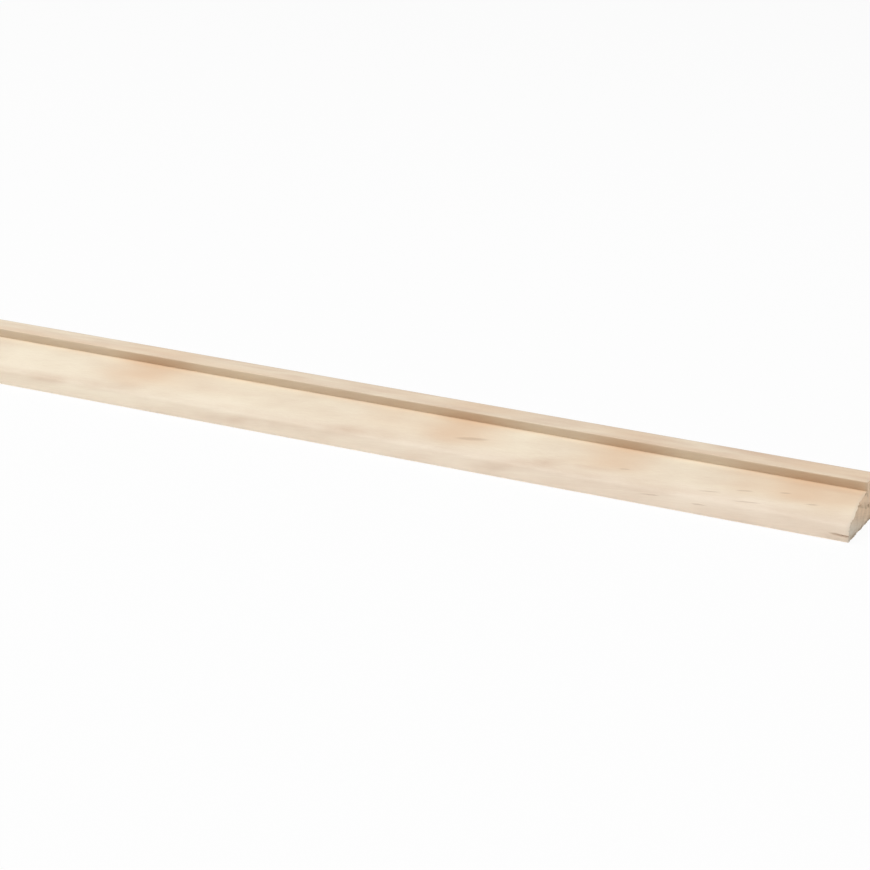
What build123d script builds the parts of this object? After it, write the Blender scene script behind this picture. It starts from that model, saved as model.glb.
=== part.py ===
"""A glazing bead: one length of planed pine with a moulded face, sold by the length.

The bead lies on its flat back. X runs along the grain, Y from the thin lip at the front to the
thick edge at the back, and Z up out of the back. The origin is in the middle of the back.
Every size is in millimetres.
"""

import os

from build123d import *

# Stock
LENGTH = 2400.0
WIDTH = 22.0
THICKNESS = 12.0

# Moulded face, from the thick edge to the lip
FLAT_WIDTH = 7.5
STEP_HEIGHT = 2.7
QUIRK_WIDTH = 1.6
HOLLOW_WIDTH = 5.2
LIP_HEIGHT = 5.0

# Planed edges, and the rounded nose of the lip
ARRIS_RADIUS = 0.35
NOSE_RADIUS = 1.4

FRONT = -WIDTH / 2
BACK = WIDTH / 2
STEP_Y = BACK - FLAT_WIDTH
QUIRK_Y = STEP_Y - QUIRK_WIDTH
QUIRK_Z = THICKNESS - STEP_HEIGHT


def inflection():
    """The point where the hollow of the ogee turns into its round.

    Both ends of the ogee run level. Two arcs that meet on the straight line between those ends
    share a tangent wherever on that line they meet.
    """
    along = HOLLOW_WIDTH / (QUIRK_Y - FRONT)
    return (FRONT + HOLLOW_WIDTH, LIP_HEIGHT + along * (QUIRK_Z - LIP_HEIGHT))


def moulded_face():
    """The face that shows: lip, ogee, quirk, step and flat, as one chain of lines and arcs."""
    lip_top = (FRONT, LIP_HEIGHT)
    lip = Line((FRONT, 0), lip_top)
    hollow = TangentArc(lip_top, inflection(), tangent=(1, 0))
    ogee_round = TangentArc(inflection(), (QUIRK_Y, QUIRK_Z), tangent=hollow % 1)
    quirk_step_and_flat = Polyline(
        (QUIRK_Y, QUIRK_Z), (STEP_Y, QUIRK_Z), (STEP_Y, THICKNESS), (BACK, THICKNESS)
    )
    return [lip, hollow, ogee_round, quirk_step_and_flat]


def bead_section():
    """The closed section of the bead, with its sharp outer corners eased."""
    thick_edge_and_back = Polyline((BACK, THICKNESS), (BACK, 0), (FRONT, 0))
    section = make_face(moulded_face() + [thick_edge_and_back])
    eased = {
        (FRONT, LIP_HEIGHT): NOSE_RADIUS,
        (STEP_Y, THICKNESS): ARRIS_RADIUS,
        (BACK, THICKNESS): ARRIS_RADIUS,
        (BACK, 0): ARRIS_RADIUS,
        (FRONT, 0): ARRIS_RADIUS,
    }
    for corner, radius in eased.items():
        section = fillet(section.vertices().sort_by_distance((*corner, 0))[0], radius)
    return section


def glazing_bead():
    """The section run out to both sides of the middle of the length."""
    return extrude(Plane.YZ * bead_section(), LENGTH / 2, both=True)


def main():
    os.makedirs("parts", exist_ok=True)
    export_step(glazing_bead(), "parts/glazing_bead.step")


main()
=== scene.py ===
"""The looks of the glazing bead: planed pine with a moulded face and sawn ends, on a pale floor.

Everything is in metres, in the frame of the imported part: X along the grain, with the near end at +X,
Y from the thin lip to the thick edge, Z up out of the flat back. The wood's figure is worked out in
millimetres, from the near end, the front and the back of the bead.
"""

import math

import bpy
import numpy as np
from mathutils import Matrix, Vector, noise
from mathutils.geometry import delaunay_2d_cdt


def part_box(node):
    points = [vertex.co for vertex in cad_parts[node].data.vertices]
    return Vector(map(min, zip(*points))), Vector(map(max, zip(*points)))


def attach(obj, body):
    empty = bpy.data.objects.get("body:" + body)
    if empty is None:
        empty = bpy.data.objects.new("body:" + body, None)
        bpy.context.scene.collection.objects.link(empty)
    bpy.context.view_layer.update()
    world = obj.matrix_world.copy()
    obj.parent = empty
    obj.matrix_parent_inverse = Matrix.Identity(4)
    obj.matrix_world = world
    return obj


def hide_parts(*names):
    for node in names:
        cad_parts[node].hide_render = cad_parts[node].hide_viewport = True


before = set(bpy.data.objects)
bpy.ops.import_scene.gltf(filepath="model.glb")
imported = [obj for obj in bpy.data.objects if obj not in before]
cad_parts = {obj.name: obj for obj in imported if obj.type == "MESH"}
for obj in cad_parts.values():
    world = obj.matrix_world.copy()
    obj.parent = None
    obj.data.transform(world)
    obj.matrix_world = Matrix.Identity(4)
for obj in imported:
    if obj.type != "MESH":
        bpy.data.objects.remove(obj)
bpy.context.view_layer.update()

MM = 0.001

# Section of the bead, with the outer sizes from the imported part
LOW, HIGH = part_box("glazing_bead")
FRONT, BACK, THICKNESS = LOW.y, HIGH.y, HIGH.z
NEAR_END, FAR_END = HIGH.x, LOW.x
FLAT_WIDTH = 7.5 * MM
STEP_HEIGHT = 2.7 * MM
QUIRK_WIDTH = 1.6 * MM
HOLLOW_WIDTH = 5.2 * MM
LIP_HEIGHT = 5.0 * MM
ARRIS_RADIUS = 0.35 * MM
NOSE_RADIUS = 1.4 * MM
STEP_Y = BACK - FLAT_WIDTH
QUIRK_Y = STEP_Y - QUIRK_WIDTH
QUIRK_Z = THICKNESS - STEP_HEIGHT

# Places on the section in millimetres, from the front and the back, for the finishes
STEP_ACROSS = (STEP_Y - FRONT) / MM
BACK_ACROSS = (BACK - FRONT) / MM
STEP_FOOT = QUIRK_Z / MM
FLAT_HEIGHT = THICKNESS / MM

# Spacing of the mesh
FACE_PITCH = 0.4 * MM
BACK_PITCH = 0.3 * MM
EDGE_PITCH = 0.8 * MM
SPLIT_PITCH = 0.06 * MM
END_GAP = 0.15 * MM
WIDEST_GAP = 20 * MM
GAP_GROWTH = 1.06
SHARP_ANGLE = math.radians(30)
SAWN_PITCH = 0.3 * MM
MAP_ROWS = 6
MAP_GAP = 1.5 * MM

# Short split in the lip at the near end, and chips that the saw tore from the edges of both ends
SPLIT_LENGTH = 5.6 * MM
SPLIT_HEIGHT = 1.83 * MM
SPLIT_CLIMB = 0.04
SPLIT_WIDTH = 0.34 * MM
SPLIT_DEPTH = 0.25 * MM
CHIP_DEPTH = 0.4 * MM
CHIP_LENGTH = 2.4 * MM
CHIP_SPACING = 2.3 * MM
SLIVER_WIDTH = 0.5 * MM
FACE_CHIP_SHARE = 0.3
RAGGED_DEPTH = 0.6 * MM
RAGGED_REACH = 1.4 * MM
SAW_MARK_DEPTH = 0.04 * MM
SAW_MARK_PITCH = 0.9 * MM
SAW_SWING = 0.35

# Pits torn out of the near end: across and height of the middle, then radius
TORN_PITS = ((9.0, 7.3, 0.7), (16.0, 4.7, 0.9))
PIT_DEPTH = 0.3 * MM
PIT_GRAIN = 0.6 * MM
PIT_REACH = 1.3

# Seeds: where in the noise each end's tears are taken from, and the random draws of its saw marks
NEAR_TEARS, FAR_TEARS = 3.7, 8.2
NEAR_DRAWS, FAR_DRAWS = 12, 11

# Camera, fitted to the long edges and the near end of the bead in the photograph
IMAGE_WIDTH = 870
FOCAL_PIXELS = 2662.0
AZIMUTH = math.radians(26.81)
ELEVATION = math.radians(21.15)
NEAR_CORNER_PIXEL = (848.3, 543.3)
NEAR_CORNER_DEPTH = 696 * MM

# Studio
FLOOR_REACH = 40.0
FLOOR_DROP = 0.1 * MM
FLOOR_GREY = 0.9
FLOOR_WHITENESS = 0.92
FLOOR_GLOW = 0.58
DOME_STRENGTH = 0.08
SOFTBOX_PLACE = (0.0, -0.2, 1.2)
SOFTBOX_SIZE = (5.0, 0.9)
SOFTBOX_RADIANCE = 2.65


def srgb(*eight_bit):
    """A colour as it is read off a screen, turned into the linear numbers that shaders take."""
    parts = [c / 255 for c in eight_bit]
    return tuple(p / 12.92 if p <= 0.04045 else ((p + 0.055) / 1.055) ** 2.4 for p in parts) + (1.0,)


# Colours of the pine
EARLYWOOD = srgb(246, 233, 209)
ROSY_EARLYWOOD = srgb(246, 230, 210)
LATEWOOD = srgb(215, 188, 163)
BLUSH = srgb(227, 193, 159)
# Painted shade for the step and the quirk at its foot
STEP_SHADE = srgb(199, 168, 132)
RESIN = srgb(150, 112, 76)
# Grey for painted shade low on the sides, and for the back arris and the near end
SHADE_AND_EDGE_GREY = srgb(186, 178, 165)
SAWN_SAPWOOD = srgb(201, 191, 175)
SAWN_HEARTWOOD = srgb(218, 190, 160)
SAWN_LATEWOOD = srgb(166, 144, 117)
# Painted shade on the ends, along the foot and in the pits
END_SHADE = srgb(128, 106, 82)

# Figure of the board, in millimetres. Growth counts outwards from the pith, square to the rings.
# The near stretch is the one in the photograph. Past it, the same marks are scattered.
RING_LEAN = math.radians(20.9)
GRAIN_SLOPE = 0.10
RING_STARTS = (9.3, 12.2, 18.0, 27.6, 38.0)
RING_WIDTH = 9.5
SCATTERED_FROM = 290.0

# Warm patches round the step in the near stretch: place along the length, strength and reach
BLUSHES = (
    (1.0, 0.45, 9.0),
    (15.0, 1.0, 22.0),
    (33.0, 0.3, 9.0),
    (69.5, 0.8, 17.0),
    (117.0, 0.95, 20.0),
    (139.0, 0.35, 14.0),
    (205.0, 0.2, 35.0),
    (222.0, 0.9, 21.0),
)
BLUSH_SPACING = 75.0
BLUSH_LEAN = 0.6
BLUSH_RISE = 11.0

# Latewood cut at a low angle in the near stretch: from and to along the length, rise at both places,
# width and strength
FLAMES = (
    (275.0, 215.0, 3.4, 6.2, 2.4, 1.0),
    (205.0, 130.0, 0.7, 7.4, 2.4, 1.0),
    (112.0, 80.0, 1.2, 8.2, 2.4, 1.0),
    (83.0, 66.0, 7.0, 7.6, 0.9, 0.6),
    (45.0, -40.0, 12.6, 12.9, 1.0, 0.8),
)

# Slow change of tone, the middle of a pale stretch on the front of the flat, and the planer's ripple
DRIFT_LENGTH = 565.0
PALE_STRETCH = 125.0
CUTTER_PITCH = 1.8

# Resin canals cut open by the plane near the end: from and to along the length, across, height and
# radius. Away from the end each drops a little and moves forwards, apart from those on the upright
# lip, which only drop.
RESIN_CANALS = (
    (9.6, 15.4, 5.1, 6.7, 0.28),
    (18.1, 22.3, 7.0, 7.85, 0.28),
    (24.4, 34.6, 2.25, 5.3, 0.32),
    (28.2, 34.2, 5.55, 7.0, 0.28),
    (36.8, 44.2, 3.65, 5.8, 0.26),
    (39.3, 44.7, 0.0, 3.05, 0.26),
    (52.6, 59.8, 0.0, 3.3, 0.26),
    (63.6, 68.0, 5.55, 7.0, 0.24),
    (106.5, 119.0, 6.15, 7.4, 0.7),
)
CANAL_SLIP = -0.13
CANAL_CLIMB = -0.05
SCATTERED_CANALS_FROM = 130.0


class Signal:
    """A socket in a finish. Arithmetic on signals adds Math nodes to that finish."""

    def __init__(self, finish, socket):
        self.finish = finish
        self.socket = socket

    def also(self, output):
        """Another output of the same node."""
        return Signal(self.finish, self.socket.node.outputs[output])

    def __add__(self, other):
        return self.finish.maths("ADD", self, other)

    def __radd__(self, other):
        return self.finish.maths("ADD", other, self)

    def __sub__(self, other):
        return self.finish.maths("SUBTRACT", self, other)

    def __rsub__(self, other):
        return self.finish.maths("SUBTRACT", other, self)

    def __mul__(self, other):
        return self.finish.maths("MULTIPLY", self, other)

    def __rmul__(self, other):
        return self.finish.maths("MULTIPLY", other, self)

    def __truediv__(self, other):
        return self.finish.maths("DIVIDE", self, other)

    def __pow__(self, other):
        return self.finish.maths("POWER", self, other)


class Finish:
    """A node tree of a material or of the world, and the ways to add to it."""

    def __init__(self, owner):
        self.owner = owner
        owner.use_nodes = True
        self.tree = owner.node_tree
        self.tree.nodes.clear()

    def node(self, kind, settings, sockets, output=0):
        """Adds a node: its settings first, then the values or links of its sockets."""
        made = self.tree.nodes.new("ShaderNode" + kind)
        for name, value in settings.items():
            setattr(made, name, value)
        for name, value in sockets.items():
            if isinstance(value, Signal):
                self.tree.links.new(value.socket, made.inputs[name])
            else:
                made.inputs[name].default_value = value
        return Signal(self, made.outputs[output]) if made.outputs else None

    def maths(self, operation, *values):
        return self.node("Math", {"operation": operation}, dict(enumerate(values)))

    def ramp(self, value, low, high):
        """0 at low, 1 at high, straight between them."""
        return self.node("MapRange", {}, {"Value": value, "From Min": low, "From Max": high})

    def ease(self, value, low, high):
        """0 at low, 1 at high, smooth between them."""
        return self.node("MapRange", {"interpolation_type": "SMOOTHSTEP"},
                         {"Value": value, "From Min": low, "From Max": high})

    def vector(self, x, y, z):
        return self.node("CombineXYZ", {}, {"X": x, "Y": y, "Z": z})

    def cloud(self, vector, detail=2.0, roughness=0.5):
        """Smooth noise from about 0 to 1, with a lump for each unit of the vector."""
        return self.node("TexNoise", {}, {"Vector": vector, "Scale": 1.0, "Detail": detail,
                                          "Roughness": roughness})

    def mix(self, share, first, second):
        """A colour between two colours."""
        return self.node("Mix", {"data_type": "RGBA"}, {0: share, 6: first, 7: second}, 2)


# The section's outline

def along_line(start, end, pitch):
    """Points from start up to, but not at, end."""
    steps = max(1, round(math.dist(start, end) / pitch))
    return [tuple(np.add(start, np.subtract(end, start) * k / steps)) for k in range(steps)]


def along_arc(centre, radius, first, last, pitch):
    """Points on an arc between two angles in degrees, without the last one."""
    first, last = math.radians(first), math.radians(last)
    steps = max(5, round(radius * abs(last - first) / pitch))
    angles = [first + (last - first) * k / steps for k in range(steps)]
    return [(centre[0] + radius * math.cos(a), centre[1] + radius * math.sin(a)) for a in angles]


def ogee():
    """Points down the moulded face from the quirk to the foot of the rounded nose of the lip."""
    rise, run = QUIRK_Z - LIP_HEIGHT, QUIRK_Y - FRONT
    slope = math.atan2(rise, run)
    turn = 2 * math.degrees(slope)
    hollow_radius = math.hypot(rise, run) * HOLLOW_WIDTH / run / 2 / math.sin(slope)
    round_radius = math.hypot(rise, run) / 2 / math.sin(slope) - hollow_radius
    hollow_centre = (FRONT, LIP_HEIGHT + hollow_radius)
    nose_drop = math.sqrt((hollow_radius + NOSE_RADIUS) ** 2 - NOSE_RADIUS ** 2)
    nose_centre = (FRONT + NOSE_RADIUS, hollow_centre[1] - nose_drop)
    nose_angle = math.degrees(math.atan2(-nose_drop, NOSE_RADIUS))
    return (
        along_arc((QUIRK_Y, QUIRK_Z - round_radius), round_radius, 90, 90 + turn, FACE_PITCH)
        + along_arc(hollow_centre, hollow_radius, -90 + turn, nose_angle, FACE_PITCH)
        + along_arc(nose_centre, NOSE_RADIUS, nose_angle + 180, 180, FACE_PITCH)
        + [(FRONT, nose_centre[1])]
    )


def bead_outline():
    """The section as a closed loop of (y, z), anticlockwise as seen on the near end."""
    arris = ARRIS_RADIUS
    face = ogee()
    split_top, split_foot = (FRONT, SPLIT_HEIGHT + 2 * SPLIT_WIDTH), (FRONT, SPLIT_HEIGHT - SPLIT_WIDTH)
    return np.array(
        along_line((FRONT + arris, 0), (BACK - arris, 0), BACK_PITCH)
        + along_arc((BACK - arris, arris), arris, -90, 0, FACE_PITCH)
        + along_line((BACK, arris), (BACK, THICKNESS - arris), EDGE_PITCH)
        + along_arc((BACK - arris, THICKNESS - arris), arris, 0, 90, FACE_PITCH)
        + along_line((BACK - arris, THICKNESS), (STEP_Y + arris, THICKNESS), FACE_PITCH)
        + along_arc((STEP_Y + arris, THICKNESS - arris), arris, 90, 180, FACE_PITCH)
        + along_line((STEP_Y, THICKNESS - arris), (STEP_Y, QUIRK_Z), FACE_PITCH)
        + along_line((STEP_Y, QUIRK_Z), (QUIRK_Y, QUIRK_Z), FACE_PITCH)
        + face[:-1]
        + along_line(face[-1], split_top, FACE_PITCH)
        + along_line(split_top, split_foot, SPLIT_PITCH)
        + along_line(split_foot, (FRONT, arris), FACE_PITCH)
        + along_arc((FRONT + arris, arris), arris, 180, 270, FACE_PITCH)
    )


def stations():
    """Places along the length: close together at the sawn ends, wider apart between them."""
    reach, gap, places = 0.0, END_GAP, []
    while reach < (NEAR_END - FAR_END) / 2:
        places.append(reach)
        reach += gap
        gap = min(gap * GAP_GROWTH, WIDEST_GAP)
    return np.array([FAR_END + p for p in places] + [NEAR_END - p for p in reversed(places)])


# Wear of the wood

def split_depth(from_end, outline):
    """How far the split in the lip opens at each place along the length and round the section."""
    on_lip = np.isclose(outline[:, 0], FRONT)[None, :]
    left = np.clip(1 - from_end / SPLIT_LENGTH, 0, 1)[:, None]
    middle = (SPLIT_HEIGHT + SPLIT_CLIMB * from_end)[:, None]
    open_width = SPLIT_WIDTH / 2 * left ** 0.5 + 1e-9
    shape = np.clip(1 - np.abs(outline[None, :, 1] - middle) / open_width, 0, 1)
    return SPLIT_DEPTH * shape * left ** 0.5 * on_lip


def chip_depth(from_end, outline, girth, seed):
    """How much the saw tore from the edges of an end: slivers, most of them along the back."""
    group = np.array([noise.noise(Vector((g / CHIP_SPACING, seed, 0.0))) for g in girth])
    sliver = np.array([noise.noise(Vector((g / SLIVER_WIDTH, seed, 5.0))) for g in girth])
    share = np.where(outline[:, 1] < ARRIS_RADIUS, 1.0, FACE_CHIP_SHARE)
    bite = share * np.clip(1.6 * group + 0.9 * sliver, 0, 1)
    reach = np.clip(1 - from_end[:, None] / (CHIP_LENGTH * bite[None, :] + END_GAP), 0, 1)
    return CHIP_DEPTH * bite[None, :] * reach


def ragged_depth(from_end, girth, seed):
    """How far short of the saw cut the fibres of an end's rim broke off."""
    broken = np.array([noise.noise(Vector((g / SLIVER_WIDTH, seed, 9.0))) for g in girth])
    reach = np.clip(1 - from_end / RAGGED_REACH, 0, 1)
    return RAGGED_DEPTH * np.clip(broken, 0, 1)[None, :] * reach[:, None]


def worn_sides(outline, places):
    """Points of the bead's long sides, station by station, with the split and the chips taken out."""
    ahead, behind = np.roll(outline, -1, axis=0), np.roll(outline, 1, axis=0)
    tangent = (ahead - behind) / np.linalg.norm(ahead - behind, axis=1)[:, None]
    inward = np.stack([-tangent[:, 1], tangent[:, 0]], axis=1)
    girth = np.cumsum(np.linalg.norm(outline - behind, axis=1))
    taken = split_depth(NEAR_END - places, outline)
    taken = np.maximum(taken, chip_depth(NEAR_END - places, outline, girth, NEAR_TEARS))
    taken = np.maximum(taken, chip_depth(places - FAR_END, outline, girth, FAR_TEARS))
    rings = outline[None, :, :] + taken[:, :, None] * inward[None, :, :]
    lengthwise = places[:, None] - ragged_depth(NEAR_END - places, girth, NEAR_TEARS)
    lengthwise = lengthwise + ragged_depth(places - FAR_END, girth, FAR_TEARS)
    return np.concatenate([lengthwise[:, :, None], rings], axis=2)


def inside(points, loop):
    """Which points lie in a closed loop, and well clear of its line."""
    a, b = loop, np.roll(loop, -1, axis=0)
    crossed = np.zeros(len(points), bool)
    nearest = np.full(len(points), 1e9)
    for p, q in zip(a, b):
        spans = (p[1] > points[:, 1]) != (q[1] > points[:, 1])
        rise = q[1] - p[1] if q[1] != p[1] else 1e-12
        crossed ^= spans & (points[:, 0] < (q[0] - p[0]) * (points[:, 1] - p[1]) / rise + p[0])
        share = np.clip(((points - p) @ (q - p)) / ((q - p) @ (q - p)), 0, 1)
        nearest = np.minimum(nearest, np.linalg.norm(points - p - share[:, None] * (q - p), axis=1))
    return crossed & (nearest > SAWN_PITCH / 2)


def sawn_cap(loop, place, outward, seed):
    """Points inside one end, with saw marks and pits, and the triangles that join them to its rim."""
    rng = np.random.default_rng(seed)
    low, high = loop.min(axis=0), loop.max(axis=0)
    columns, rows = (np.arange(a, b, SAWN_PITCH) for a, b in zip(low, high))
    grid = np.stack(np.meshgrid(columns, rows), -1)
    grid = grid.reshape(-1, 2) + rng.uniform(-0.3, 0.3, (grid.size // 2, 2)) * SAWN_PITCH
    grid = grid[inside(grid, loop)]
    flat = [Vector(p) for p in np.concatenate([loop, grid]) / MM]
    ring = [(k, (k + 1) % len(loop)) for k in range(len(loop))]
    triangles = delaunay_2d_cdt(flat, ring, [], 1, 1e-6)[2]
    swing = grid[:, 1] + SAW_SWING * grid[:, 0]
    marks = 0.5 + 0.5 * np.sin(2 * math.pi * swing / SAW_MARK_PITCH + rng.uniform(0, 6))
    depth = SAW_MARK_DEPTH * (0.6 * marks + rng.uniform(0, 1, len(grid)))
    uneven = np.array([noise.noise(Vector((*p, 0.0)) / PIT_GRAIN) for p in grid])
    pits = TORN_PITS if outward > 0 else ()
    for across, height, radius in pits:
        off = np.hypot(grid[:, 0] - FRONT - across * MM, grid[:, 1] - height * MM) / (radius * MM)
        depth += PIT_DEPTH * np.clip(1 - off + uneven, 0, 1) * (off < PIT_REACH)
    points = np.column_stack([place - outward * depth, grid])
    return points, [t if outward > 0 else t[::-1] for t in triangles]


def lay_out_map(mesh, outline, places):
    """A map for baked images: the long sides cut into rows, with the ends beside them."""
    count = len(outline)
    girth = np.append(0, np.cumsum(np.linalg.norm(np.roll(outline, -1, axis=0) - outline, axis=1)))
    row_length = (NEAR_END - FAR_END) / MAP_ROWS
    row = np.minimum((places[:-1] - FAR_END) / row_length + 1e-6, MAP_ROWS - 1).astype(int)
    first = np.array([places[np.searchsorted(row, r)] for r in range(MAP_ROWS)])
    u0, u1 = places[:-1] - first[row], places[1:] - first[row]
    v0, v1 = girth[:-1], girth[1:]
    shift = row * (girth[-1] + MAP_GAP)
    sides = np.zeros((len(row), count, 4, 2))
    sides[:, :, (0, 1), 0] = u0[:, None, None]
    sides[:, :, (2, 3), 0] = u1[:, None, None]
    sides[:, :, (0, 3), 1] = (v0[None, :] + shift[:, None])[:, :, None]
    sides[:, :, (1, 2), 1] = (v1[None, :] + shift[:, None])[:, :, None]
    on_ends = [loop.vertex_index for loop in mesh.loops][sides.size // 2:]
    corners = np.array([mesh.vertices[k].co for k in on_ends])
    ends = corners[:, 1:] - (FRONT, 0) + (u1.max() + MAP_GAP, 0)
    ends[corners[:, 0] > 0, 1] += THICKNESS + MAP_GAP
    places_on_map = np.concatenate([sides.reshape(-1, 2), ends])
    places_on_map /= places_on_map.max()
    mesh.uv_layers.new(name="OFBake", do_init=False).uv.foreach_set("vector", places_on_map.ravel())


def make_bead():
    """One closed mesh: the worn section run along the stations, with a sawn cap on each end."""
    outline, places = bead_outline(), stations()
    sides = worn_sides(outline, places)
    count, rows = len(outline), len(places)
    verts = [sides.reshape(-1, 3)]
    faces = []
    for i in range(rows - 1):
        for j in range(count):
            k = (j + 1) % count
            faces.append((i * count + j, i * count + k, (i + 1) * count + k, (i + 1) * count + j))
    planed = len(faces)
    total = rows * count
    for row, outward, seed in ((0, -1, FAR_DRAWS), (rows - 1, 1, NEAR_DRAWS)):
        points, triangles = sawn_cap(sides[row, :, 1:], places[row], outward, seed)
        number = [row * count + k for k in range(count)] + [total + k for k in range(len(points))]
        faces += [tuple(number[k] for k in t) for t in triangles]
        verts.append(points)
        total += len(points)
    mesh = bpy.data.meshes.new("planed_bead")
    mesh.from_pydata(np.concatenate(verts).tolist(), [], faces)
    mesh.materials.append(planed_pine())
    mesh.materials.append(sawn_pine())
    mesh.polygons.foreach_set("material_index", [0] * planed + [1] * (len(faces) - planed))
    mesh.polygons.foreach_set("use_smooth", [True] * len(faces))
    mesh.set_sharp_from_angle(angle=SHARP_ANGLE)
    lay_out_map(mesh, outline, places)
    mesh.update()
    piece = bpy.data.objects.new("planed_bead", mesh)
    bpy.context.scene.collection.objects.link(piece)
    return piece


# Finishes

class Figure:
    """The figure of the board that the bead was cut from, the same through every surface of it."""

    def __init__(self, finish):
        self.finish = finish
        place = finish.node("TexCoord", {}, {}, "Object")
        x = finish.node("SeparateXYZ", {}, {"Vector": place}, "X")
        self.along = (NEAR_END - x) / MM
        self.across = (x.also("Y") - FRONT) / MM
        self.height = x.also("Z") / MM
        self.rise = math.sin(RING_LEAN) * self.across + math.cos(RING_LEAN) * self.height
        self.ringwise = math.cos(RING_LEAN) * self.across - math.sin(RING_LEAN) * self.height
        self.layer = self.rise + GRAIN_SLOPE * self.along
        self.mottle = self.cloud(18.0, 6.0, 1.0)
        self.ragged = self.cloud(2.5, 1.0, 1.0)
        self.wander = self.cloud(28.0, 5.0, 2.0) - 0.5
        self.growth = self.layer + 3.0 * self.wander

    def cloud(self, length, width, detail, roughness=0.5):
        """Noise in lumps of a length along the grain and a width across it."""
        place = self.finish.vector(self.along / length, self.ringwise / width, self.layer / width)
        return self.finish.cloud(place, detail, roughness)

    def latewood(self):
        """Each ring's dark wood: it starts sharply and fades into the next year's pale wood."""
        finish = self.finish
        ring = finish.maths("MINIMUM", self.growth - RING_STARTS[0], 0.0) / RING_WIDTH
        for start, end in zip(RING_STARTS, RING_STARTS[1:]):
            ring = ring + finish.ramp(self.growth, start, end)
        ring = ring + finish.maths("MAXIMUM", self.growth - RING_STARTS[-1], 0.0) / RING_WIDTH
        share = finish.maths("FRACT", ring)
        return finish.ease(share, 0.0, 0.14) * (1 - share) ** 1.6

    def ripple(self):
        """Streaks that follow the rings, finer than a year."""
        slanting = self.growth + 0.06 * self.along
        place = self.finish.vector(self.along / 26, slanting / 1.2, self.across / 7)
        return self.finish.cloud(place, 3.0, 0.6)

    def far_on(self):
        """1 past the near stretch, where the marks are scattered."""
        return self.finish.ease(self.along, SCATTERED_FROM, SCATTERED_FROM + 20)

    def blush(self):
        """Warm patches round the step, which lean back down the moulded face. The patches are the wood's
        own colour; their fade down the face away from the quirk is also painted shade below the step.
        """
        finish = self.finish
        along = self.along + BLUSH_LEAN * finish.maths("MINIMUM", self.rise - BLUSH_RISE, 0.0)
        along = along + 4.0 * (self.cloud(20.0, 6.0, 1.0) - 0.5)
        wave = finish.maths("COSINE", along * (2 * math.pi / BLUSH_SPACING))
        patches = 0.6 * finish.ease(wave, 0.3, 1.0) * self.far_on()
        for place, strength, reach in BLUSHES:
            patches = patches + strength * finish.ease(finish.maths("ABSOLUTE", along - place), reach, 0.0)
        rise = self.rise + 3.0 * (self.mottle - 0.5)
        # The fade away from the quirk is painted shade below the step
        return patches * finish.ease(rise, 5.5, 10.0) * finish.ease(rise, 23.0, 12.5)

    def flames(self):
        """Latewood on the planed face: slanting bands that come and go along the length."""
        finish = self.finish
        showing = finish.ease(self.cloud(45.0, 9.0, 1.0), 0.5, 0.62)
        bands = self.latewood() * (0.25 + showing * self.far_on())
        wavy = self.rise + self.wander
        uneven = 2.0 * self.cloud(9.0, 8.0, 1.0)
        for start, end, low, high, width, strength in FLAMES:
            slope = (high - low) / (end - start)
            middle, half = (start + end) / 2, abs(end - start) / 2
            off = finish.maths("ABSOLUTE", wavy - slope * self.along - (low - slope * start))
            reach = finish.maths("ABSOLUTE", self.along - middle)
            band = finish.ease(off, width, 0.0) * finish.ease(reach, half, 0.4 * half)
            bands = bands + strength * uneven * band
        return bands

    def drift(self):
        """A slow change of tone along the length, warmest at the near end."""
        return 0.5 + 0.5 * self.finish.maths("COSINE", self.along * (2 * math.pi / DRIFT_LENGTH))

    def spindle(self, start, end, across, height, radius, slip=0.0, climb=0.0, fray=0.4):
        """1 inside a thin tapered body along the length, which may shift across and up on its way."""
        finish = self.finish
        squeeze, middle = 2 * radius / (end - start), (start + end) / 2
        off, frayed = self.along - middle, fray * (self.ragged - 0.5)
        place = finish.vector(off * squeeze, self.across - slip * off, self.height + frayed - climb * off)
        centre = (0.0, across, height)
        distance = finish.node("VectorMath", {"operation": "DISTANCE"}, {0: place, 1: centre}, "Value")
        return finish.ease(distance, radius, 0.4 * radius)

    def resin(self):
        """Open resin canals: the ones in sight, listed one by one, and others scattered along the rest of
        the length.
        """
        finish = self.finish
        place = finish.vector(self.along / 16, self.across / 1.1, self.height / 1.1)
        cells = finish.node("TexVoronoi", {"feature": "F1"}, {"Vector": place, "Scale": 1.0}, "Distance")
        lot = finish.node("SeparateXYZ", {}, {"Vector": cells.also("Color")}, "X")
        canals = finish.ease(cells, 0.22, 0.02) * finish.ease(lot, 0.94, 0.95)
        canals = canals * finish.ease(self.along, SCATTERED_CANALS_FROM, SCATTERED_CANALS_FROM + 1)
        for start, end, across, height, radius in RESIN_CANALS:
            slip = CANAL_SLIP if across > 0 else 0.0
            canal = self.spindle(start, end, across, height, radius, slip, CANAL_CLIMB)
            canals = finish.maths("MAXIMUM", canals, canal)
        return canals

    def on_flat(self):
        """1 on the plain flat behind the step."""
        return self.finish.ease(self.height, FLAT_HEIGHT - 0.5, FLAT_HEIGHT - 0.1)


def principled(finish, colour, roughness, bump, bump_depth):
    normal = finish.node("Bump", {}, {"Strength": 1.0, "Distance": bump_depth, "Height": bump})
    shader = finish.node("BsdfPrincipled", {},
                         {"Base Color": colour, "Roughness": roughness, "Normal": normal})
    finish.node("OutputMaterial", {}, {"Surface": shader})


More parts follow.
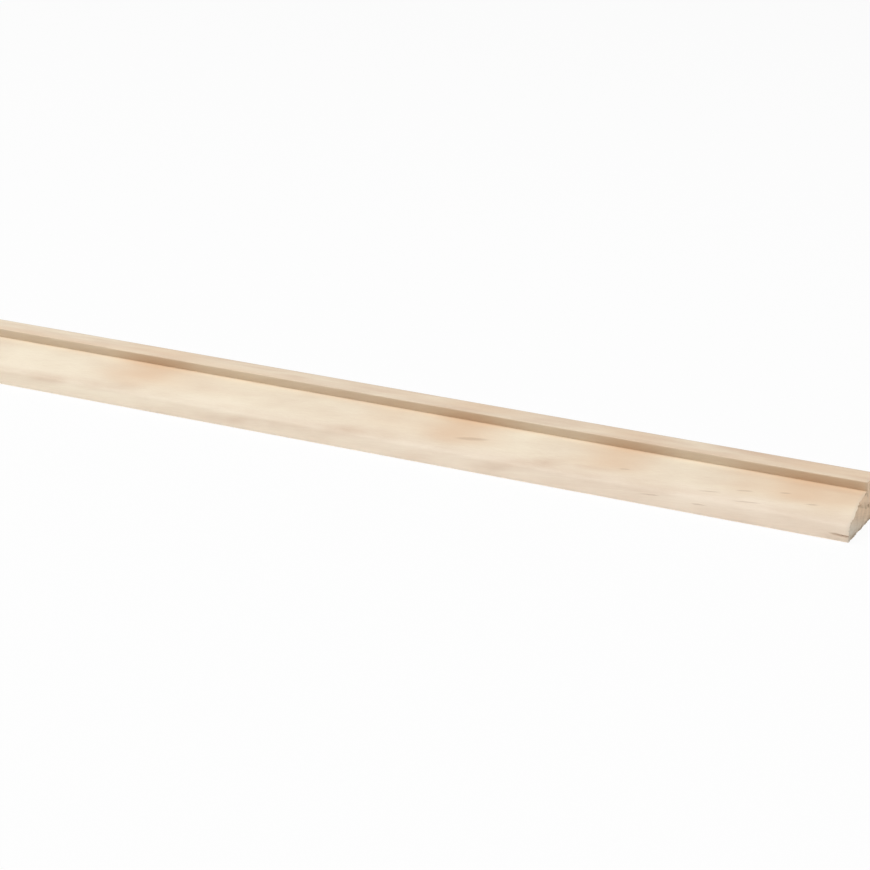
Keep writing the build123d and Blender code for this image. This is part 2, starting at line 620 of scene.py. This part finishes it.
def clean_wood(figure, fibre, flames):
    """Colour of the planed wood: cream to rosy earlywood, tan where latewood is cut."""
    finish = figure.finish
    drift = figure.drift()
    on_lip = finish.ease(figure.height, 5.0, 3.5)
    # Painted light: the upper part of the lip is made paler
    lit_lip_top = finish.ease(figure.across, 0.8, 0.2) * finish.ease(figure.height, 1.5, 4.0)
    streak = figure.cloud(40.0, 0.6, 2.0)
    blotch = figure.cloud(30.0, 2.0, 2.0)
    tan = 0.115 + 0.36 * flames + 0.16 * drift + 0.03 * on_lip
    tan = tan + 0.15 * (figure.ripple() - 0.5) + 0.8 * (figure.mottle - 0.5)
    tan = tan + 0.42 * (fibre - 0.5) + 0.15 * (streak - 0.5) - 0.06 * lit_lip_top
    tan = tan + figure.on_flat() * (0.25 + 0.8 * (blotch - 0.5))
    rosy = finish.ease(figure.rise + 4.0 * (figure.mottle - 0.5), 8.5, 4.5) * (0.3 + 0.7 * drift)
    earlywood = finish.mix(rosy, EARLYWOOD, ROSY_EARLYWOOD)
    return finish.mix(finish.ramp(tan, 0.0, 1.0), earlywood, LATEWOOD)


def warmed(figure, blush, colour):
    """Warm patches over the wood, made stronger in the quirk as painted shade. They skip the front of the
    flat, which is dull between them.
    """
    finish = figure.finish
    quirk_shade = finish.ease(figure.across, STEP_ACROSS - 4.0, STEP_ACROSS - 1.6)
    front_of_flat = figure.on_flat() * finish.ease(figure.across, STEP_ACROSS + 4.0, STEP_ACROSS + 0.5)
    from_pale = finish.maths("ABSOLUTE", figure.along - PALE_STRETCH)
    dull_front = (0.34 - 0.14 * figure.drift()) * front_of_flat * finish.ease(from_pale, 30.0, 65.0)
    # Painted shade: the patches are made stronger in the quirk
    warm = (0.74 + 0.12 * quirk_shade) * blush * (1 - 0.8 * front_of_flat)
    return finish.mix(warm + dull_front * (1 - 0.7 * blush), colour, BLUSH)


def painted_step_shade(figure, blush, colour):
    """Painted shade on the step and on the quirk at its foot."""
    finish = figure.finish
    in_step = finish.ease(figure.across, STEP_ACROSS - 1.6, STEP_ACROSS - 0.1)
    in_step = in_step * finish.ease(figure.across, STEP_ACROSS + 0.4, STEP_ACROSS + 0.1)
    in_step = in_step * finish.ramp(figure.height, STEP_FOOT - 2.0, STEP_FOOT + 1.2)
    # Painted shade: it grows up the step, fades out across the quirk and is a little darker in the warm
    # patches
    step_shade = 0.41 + 0.24 * blush + 0.3 * (figure.cloud(12.0, 1.5, 2.0) - 0.5)
    return finish.mix(step_shade * in_step * (1 - figure.on_flat()), colour, STEP_SHADE)


def painted_low_shade_and_grey_edges(figure, colour):
    """Grey over the wood: painted shade low on the sides, darkest at the foot, and grey on the back arris
    and round the near end.
    """
    finish = figure.finish
    back_arris = figure.on_flat() * finish.ease(figure.across, BACK_ACROSS - 1.0, BACK_ACROSS - 0.3)
    # Painted shade, darker towards the bottom of the sides
    grey_share = 0.08 * finish.ease(figure.height, 4.5, 0.5) + 0.2 * finish.ease(figure.height, 1.0, 0.3)
    grey_share = grey_share + 0.3 * back_arris + 0.2 * finish.ease(figure.along, 1.2, 0.0)
    return finish.mix(grey_share, colour, SHADE_AND_EDGE_GREY)


def resinous(figure, colour):
    """Resin in the open canals, and the stain round the split in the lip."""
    finish = figure.finish
    length, height = SPLIT_LENGTH / MM, SPLIT_HEIGHT / MM
    stain = figure.spindle(-0.3 * length, 1.1 * length, 0.0, height, 0.5, 0.0, SPLIT_CLIMB)
    seep = figure.spindle(-2 * length, 2 * length, 0.0, height / 2, 1.2)
    colour = finish.mix(0.28 * figure.resin(), colour, RESIN)
    return finish.mix(0.4 * stain + 0.14 * seep, colour, RESIN)


def planed_pine():
    """Bare planed pine: cream earlywood, soft tan latewood, fine fibre and a few resin streaks."""
    finish = Finish(bpy.data.materials.new("planed_pine"))
    figure = Figure(finish)
    fibre = figure.cloud(9.0, 0.13, 2.0, 0.6)
    flames = figure.flames()
    blush = figure.blush()
    colour = clean_wood(figure, fibre, flames)
    colour = warmed(figure, blush, colour)
    colour = painted_step_shade(figure, blush, colour)
    colour = painted_low_shade_and_grey_edges(figure, colour)
    colour = resinous(figure, colour)
    cutter = finish.maths("SINE", figure.along * (2 * math.pi / CUTTER_PITCH))
    roughness = 0.54 + 0.16 * fibre - 0.05 * flames
    principled(finish, colour, roughness, fibre + 0.3 * flames + 0.05 * cutter, 0.03 * MM)
    return finish.owner


def painted_end_shade(figure):
    """1 where shade is painted on an end: along its foot, where the saw tore fibre out, and in the pits.
    """
    finish = figure.finish
    specks = finish.cloud(finish.vector(figure.across / 1.2, figure.height / 2.0, 6.0), 1.0)
    end_shade_share = finish.ease(figure.height, 1.3, 0.2) * (0.45 + 0.55 * finish.ease(specks, 0.42, 0.55))
    end_shade_share = end_shade_share * finish.ease(figure.across, 0.3, 2.5)
    for across, height, radius in TORN_PITS:
        pit = figure.spindle(-2 * radius, 2 * radius, across, height, radius, fray=2.0)
        end_shade_share = finish.maths("MAXIMUM", end_shade_share, pit)
    return end_shade_share


def sawn_pine():
    """End grain left by the saw: darker and greyer, with rings, rays and open cells, and painted shade
    along its foot and in the pits.
    """
    finish = Finish(bpy.data.materials.new("sawn_pine"))
    figure = Figure(finish)
    swing = figure.height + SAW_SWING * figure.across
    cells = finish.cloud(finish.vector(figure.rise / 0.12, figure.ringwise / 0.12, 0.0), 1.0)
    rays = finish.cloud(finish.vector(figure.rise / 2.5, figure.ringwise / 0.16, 4.0), 2.0)
    marks = finish.cloud(finish.vector(swing / 0.22, figure.across / 9, 8.0), 2.0)
    blotch = figure.cloud(1.0, 2.4, 2.0)
    colour = finish.mix(finish.ease(figure.rise, 2.5, 9.0), SAWN_SAPWOOD, SAWN_HEARTWOOD)
    tan = 0.75 * figure.latewood() ** 1.5 * finish.ease(blotch, 0.3, 0.6)
    tan = tan + 0.6 * (cells - 0.5) + 0.5 * (rays - 0.5)
    tan = tan + 0.5 * (marks - 0.5) + 0.9 * (blotch - 0.5)
    tan = tan + 0.25 * finish.ease(figure.rise, 4.5, 6.5) * finish.ease(figure.rise, 11.5, 9.5)
    colour = finish.mix(finish.ramp(tan, 0.0, 1.0), colour, SAWN_LATEWOOD)
    # Painted shade along the foot of the end and in the pits
    colour = finish.mix(0.7 * painted_end_shade(figure), colour, END_SHADE)
    principled(finish, colour, 0.8 + 0.1 * cells, cells + marks, 0.06 * MM)
    return finish.owner


def to_the_eye(finish):
    """1 for what the camera sees, also through glass or in gloss, and 0 for light on its way."""
    path = finish.node("LightPath", {}, {}, "Is Camera Ray")
    seen = finish.maths("MAXIMUM", path, path.also("Is Glossy Ray"))
    return finish.maths("MAXIMUM", seen, path.also("Is Transmission Ray"))


def pale_floor():
    """A light table: almost white to the camera, yet shaded by the bead, which it lights from below.

    Its glow is left out of the shadow rays. They all go to the softbox, which leaves less grain.
    """
    finish = Finish(bpy.data.materials.new("pale_floor"))
    seen = to_the_eye(finish)
    matt = finish.node("BsdfDiffuse", {}, {"Color": (FLOOR_GREY, FLOOR_GREY, FLOOR_GREY, 1)})
    glow = finish.node("Emission", {}, {"Strength": FLOOR_GLOW})
    white = finish.node("Emission", {}, {"Strength": 1.0})
    lit = finish.node("AddShader", {}, {0: matt, 1: glow})
    shaded = finish.node("MixShader", {}, {0: FLOOR_WHITENESS, 1: matt, 2: white})
    surface = finish.node("MixShader", {}, {0: seen, 1: lit, 2: shaded})
    finish.node("OutputMaterial", {}, {"Surface": surface})
    finish.owner.cycles.emission_sampling = "NONE"
    return finish.owner


# Studio

def make_floor():
    mesh = bpy.data.meshes.new("floor")
    edge, level = FLOOR_REACH, -FLOOR_DROP
    corners = [(-edge, -edge, level), (edge, -edge, level), (edge, edge, level), (-edge, edge, level)]
    mesh.from_pydata(corners, [], [(0, 1, 2, 3)])
    mesh.materials.append(pale_floor())
    floor = bpy.data.objects.new("floor", mesh)
    bpy.context.scene.collection.objects.link(floor)


def make_dome():
    """A dim white dome that the camera sees as pale as the floor far away."""
    world = bpy.data.worlds.new("dome")
    bpy.context.scene.world = world
    finish = Finish(world)
    dim = finish.node("Background", {}, {"Color": (1, 1, 1, 1), "Strength": DOME_STRENGTH})
    far_floor = FLOOR_WHITENESS + (1 - FLOOR_WHITENESS) * FLOOR_GREY * DOME_STRENGTH
    white = finish.node("Background", {}, {"Color": (1, 1, 1, 1), "Strength": far_floor})
    surface = finish.node("MixShader", {}, {0: to_the_eye(finish), 1: dim, 2: white})
    finish.node("OutputWorld", {}, {"Surface": surface})


def make_softbox():
    """One large softbox straight above the bead."""
    lamp = bpy.data.lights.new("softbox", "AREA")
    lamp.shape = "RECTANGLE"
    lamp.size, lamp.size_y = SOFTBOX_SIZE
    lamp.energy = SOFTBOX_RADIANCE * math.pi * lamp.size * lamp.size_y
    softbox = bpy.data.objects.new("softbox", lamp)
    softbox.location = SOFTBOX_PLACE
    bpy.context.scene.collection.objects.link(softbox)


def make_camera():
    """Looks at the near end so that its lower front corner falls on the photographed pixel."""
    back = Vector((math.sin(AZIMUTH) * math.cos(ELEVATION),
                   -math.cos(AZIMUTH) * math.cos(ELEVATION),
                   math.sin(ELEVATION)))
    right = Vector((math.cos(AZIMUTH), math.sin(AZIMUTH), 0))
    up = back.cross(right)
    across, down = [(p - IMAGE_WIDTH / 2) / FOCAL_PIXELS * NEAR_CORNER_DEPTH for p in NEAR_CORNER_PIXEL]
    corner = Vector((NEAR_END, FRONT, 0))
    data = bpy.data.cameras.new("camera")
    data.lens = FOCAL_PIXELS / IMAGE_WIDTH * data.sensor_width
    data.clip_start, data.clip_end = 0.01, 100
    camera = bpy.data.objects.new("camera", data)
    camera.matrix_world = Matrix((right, up, back)).transposed().to_4x4()
    camera.matrix_world.translation = corner - right * across + up * down + back * NEAR_CORNER_DEPTH
    bpy.context.scene.collection.objects.link(camera)
    bpy.context.scene.camera = camera


bead = make_bead()
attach(bead, "root")
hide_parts("glazing_bead")

make_floor()
make_dome()
make_softbox()
make_camera()
bpy.context.scene.view_settings.view_transform = "Standard"
